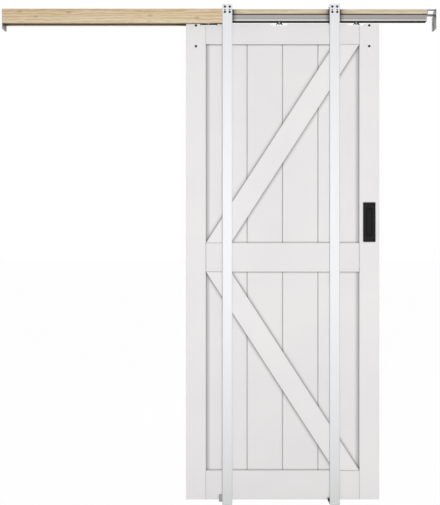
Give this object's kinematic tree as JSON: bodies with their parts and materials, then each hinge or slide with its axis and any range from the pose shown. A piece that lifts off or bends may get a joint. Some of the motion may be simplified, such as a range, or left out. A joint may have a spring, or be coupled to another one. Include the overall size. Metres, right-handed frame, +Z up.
{
  "type": "sliding barn door",
  "caption": "Braced plank door on hangers that slides along a slotted track under a pine header, between split steel studs, with flush pulls.",
  "frame": {"origin": "on the floor, under the middle of the header, in the wall's middle plane", "axes": "+X along the header from the opening to the pocket, +Y from the front of the wall to its back, +Z up"},
  "size_m": [1.849, 0.089, 2.132],
  "materials": {
    "pine": "planed, unfinished",
    "track_aluminium": "mill finish extrusion",
    "stud_steel": "white coated sheet",
    "bracket_steel": "galvanised sheet",
    "hanger_steel": "dark zinc plate",
    "zinc_screw": "bright zinc plate",
    "guide_nylon": "moulded",
    "plug_black": "moulded",
    "buffer_rubber": "moulded",
    "wheel_nylon": "moulded",
    "door_white": "white wrapped fibreboard, satin",
    "pull_black": "matt black powder coat"
  },
  "bodies": {
    "frame": {"header_board": "pine", "front_nailer": "pine", "rear_nailer": "pine", "track": "track_aluminium", "track_screws": "zinc_screw", "left_end_bracket": "bracket_steel", "right_end_bracket": "bracket_steel", "bracket_screws": "zinc_screw", "jamb_stud_front": "stud_steel", "jamb_stud_rear": "stud_steel", "pocket_stud_front": "stud_steel", "pocket_stud_rear": "stud_steel", "stud_screws": "hanger_steel", "stud_plugs": "plug_black", "jamb_floor_bracket": "bracket_steel", "pocket_floor_bracket": "bracket_steel", "door_guide_front": "guide_nylon", "door_guide_rear": "guide_nylon", "guide_screws": "zinc_screw", "closing_stop": "guide_nylon", "pocket_stop": "guide_nylon", "stop_buffers": "buffer_rubber", "pocket_rub_pads": "buffer_rubber"},
    "door": {"left_stile": "door_white", "right_stile": "door_white", "top_rail": "door_white", "bottom_rail": "door_white", "plank_1": "door_white", "plank_2": "door_white", "plank_3": "door_white", "plank_4": "door_white", "front_mid_rail": "door_white", "rear_mid_rail": "door_white", "front_upper_brace": "door_white", "rear_upper_brace": "door_white", "front_lower_brace": "door_white", "rear_lower_brace": "door_white", "front_flush_pull": "pull_black", "rear_flush_pull": "pull_black", "pull_screws": "pull_black", "hanger_plates": "zinc_screw", "hanger_plate_screws": "zinc_screw", "pendant_bolts": "zinc_screw", "hanger_nuts": "zinc_screw", "wheel_axles": "zinc_screw", "left_hanger_bracket": "hanger_steel", "left_truck": "hanger_steel", "middle_hanger_bracket": "hanger_steel", "middle_truck": "hanger_steel", "right_hanger_bracket": "hanger_steel", "right_truck": "hanger_steel"},
    "left_truck_wheel_1": {"left_truck_wheel_1": "wheel_nylon"},
    "left_truck_wheel_2": {"left_truck_wheel_2": "wheel_nylon"},
    "left_truck_wheel_3": {"left_truck_wheel_3": "wheel_nylon"},
    "middle_truck_wheel_1": {"middle_truck_wheel_1": "wheel_nylon"},
    "middle_truck_wheel_2": {"middle_truck_wheel_2": "wheel_nylon"},
    "middle_truck_wheel_3": {"middle_truck_wheel_3": "wheel_nylon"},
    "right_truck_wheel_1": {"right_truck_wheel_1": "wheel_nylon"},
    "right_truck_wheel_2": {"right_truck_wheel_2": "wheel_nylon"},
    "right_truck_wheel_3": {"right_truck_wheel_3": "wheel_nylon"}
  },
  "joints": [
    {"name": "door_slide", "type": "slide", "parent": "frame", "child": "door", "axis": [1, 0, 0], "range_m": [-0.7616, 0.1551]},
    {"name": "left_truck_wheel_1_spin", "type": "hinge", "parent": "door", "child": "left_truck_wheel_1", "pos_m": [-0.0627, -0.0109, 2.0733], "axis": [0, 1, 0], "continuous": true},
    {"name": "left_truck_wheel_2_spin", "type": "hinge", "parent": "door", "child": "left_truck_wheel_2", "pos_m": [-0.0267, -0.0109, 2.0733], "axis": [0, 1, 0], "continuous": true},
    {"name": "left_truck_wheel_3_spin", "type": "hinge", "parent": "door", "child": "left_truck_wheel_3", "pos_m": [-0.0327, 0.0109, 2.0733], "axis": [0, 1, 0], "continuous": true},
    {"name": "middle_truck_wheel_1_spin", "type": "hinge", "parent": "door", "child": "middle_truck_wheel_1", "pos_m": [0.2392, -0.0109, 2.0733], "axis": [0, 1, 0], "continuous": true},
    {"name": "middle_truck_wheel_2_spin", "type": "hinge", "parent": "door", "child": "middle_truck_wheel_2", "pos_m": [0.2752, -0.0109, 2.0733], "axis": [0, 1, 0], "continuous": true},
    {"name": "middle_truck_wheel_3_spin", "type": "hinge", "parent": "door", "child": "middle_truck_wheel_3", "pos_m": [0.2692, 0.0109, 2.0733], "axis": [0, 1, 0], "continuous": true},
    {"name": "right_truck_wheel_1_spin", "type": "hinge", "parent": "door", "child": "right_truck_wheel_1", "pos_m": [0.5687, -0.0109, 2.0733], "axis": [0, 1, 0], "continuous": true},
    {"name": "right_truck_wheel_2_spin", "type": "hinge", "parent": "door", "child": "right_truck_wheel_2", "pos_m": [0.6047, -0.0109, 2.0733], "axis": [0, 1, 0], "continuous": true},
    {"name": "right_truck_wheel_3_spin", "type": "hinge", "parent": "door", "child": "right_truck_wheel_3", "pos_m": [0.5987, 0.0109, 2.0733], "axis": [0, 1, 0], "continuous": true}
  ],
  "couplings": [
    {"joint": "left_truck_wheel_1_spin", "follows": "door_slide", "rad_per_m": 111.11},
    {"joint": "left_truck_wheel_2_spin", "follows": "door_slide", "rad_per_m": 111.11},
    {"joint": "left_truck_wheel_3_spin", "follows": "door_slide", "rad_per_m": 111.11},
    {"joint": "middle_truck_wheel_1_spin", "follows": "door_slide", "rad_per_m": 111.11},
    {"joint": "middle_truck_wheel_2_spin", "follows": "door_slide", "rad_per_m": 111.11},
    {"joint": "middle_truck_wheel_3_spin", "follows": "door_slide", "rad_per_m": 111.11},
    {"joint": "right_truck_wheel_1_spin", "follows": "door_slide", "rad_per_m": 111.11},
    {"joint": "right_truck_wheel_2_spin", "follows": "door_slide", "rad_per_m": 111.11},
    {"joint": "right_truck_wheel_3_spin", "follows": "door_slide", "rad_per_m": 111.11}
  ]
}
